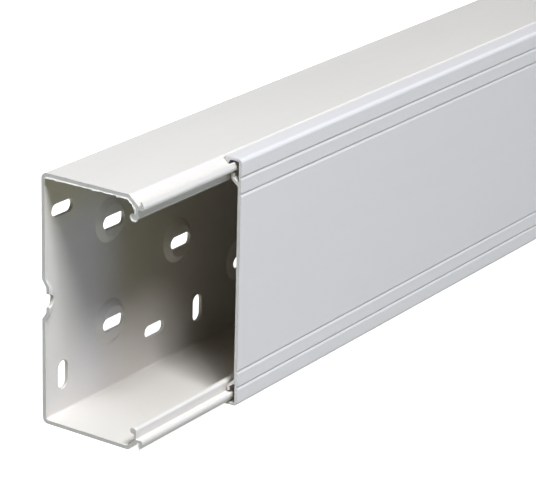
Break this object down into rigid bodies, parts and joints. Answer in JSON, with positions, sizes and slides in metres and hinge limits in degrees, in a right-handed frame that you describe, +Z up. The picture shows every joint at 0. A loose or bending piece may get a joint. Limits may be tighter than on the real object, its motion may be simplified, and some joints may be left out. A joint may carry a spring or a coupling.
{
  "type": "cord cover raceway",
  "caption": "Rectangular plastic wiring raceway: a back trough with slotted pads and nosed flanges, and a hooked cover that slides along it.",
  "frame": {"origin": "on the underside of the lower flange, at the middle of the trough's length and of the raceway's depth", "axes": "+X along the length, away from the end where the cover is drawn back; +Y towards the wall, out of the slotted back; +Z up, across the width from the flange it stands on"},
  "size_m": [1.057, 0.0494, 0.1],
  "materials": {
    "trough_plastic": "white rigid vinyl, satin as extruded, chalky on its sawn ends",
    "cover_plastic": "white rigid vinyl, satin as extruded, with fine lines along the length"
  },
  "bodies": {
    "trough": {"trough": "trough_plastic"},
    "cover": {"cover": "cover_plastic"}
  },
  "joints": [
    {"name": "cover_slide", "type": "slide", "parent": "trough", "child": "cover", "axis": [1, 0, 0], "range_m": [-0.057, 0.943]}
  ]
}
